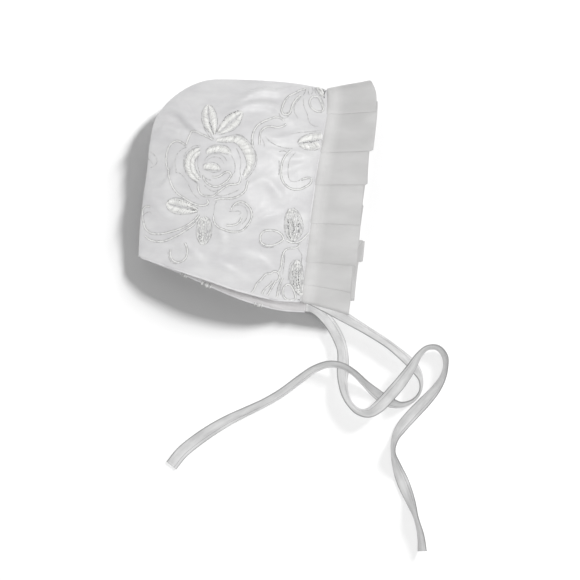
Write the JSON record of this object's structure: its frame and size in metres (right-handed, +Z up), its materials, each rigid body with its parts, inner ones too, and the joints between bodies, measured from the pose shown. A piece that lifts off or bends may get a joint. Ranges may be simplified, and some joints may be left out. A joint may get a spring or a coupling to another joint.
{
  "type": "baby bonnet",
  "caption": "Lined satin bonnet for a baby, with an embroidered net outer layer, a pleated organza ruffle round the face and two flat chin ties, lying on its side.",
  "frame": {"origin": "on the surface that the bonnet rests on, under the middle of the bonnet and its ruffle, without the ties", "axes": "+X from the back of the head towards the face opening, +Y towards the crown, +Z up from the surface, through the side that is up, which is the wearer's right side"},
  "size_m": [0.2175, 0.3307, 0.0434],
  "materials": {
    "embroidered_satin": "white satin under a fine net with raised thread embroidery",
    "lining_satin": "smooth white satin",
    "organza": "crisp off-white organza, slightly see-through",
    "tie_satin": "folded and pressed white satin"
  },
  "bodies": {
    "root": {"side_panel_right": "embroidered_satin", "side_panel_left": "embroidered_satin", "lining_right": "lining_satin", "lining_left": "lining_satin", "face_band": "embroidered_satin", "ruffle": "organza", "tie_right": "tie_satin", "tie_left": "tie_satin"}
  },
  "joints": []
}
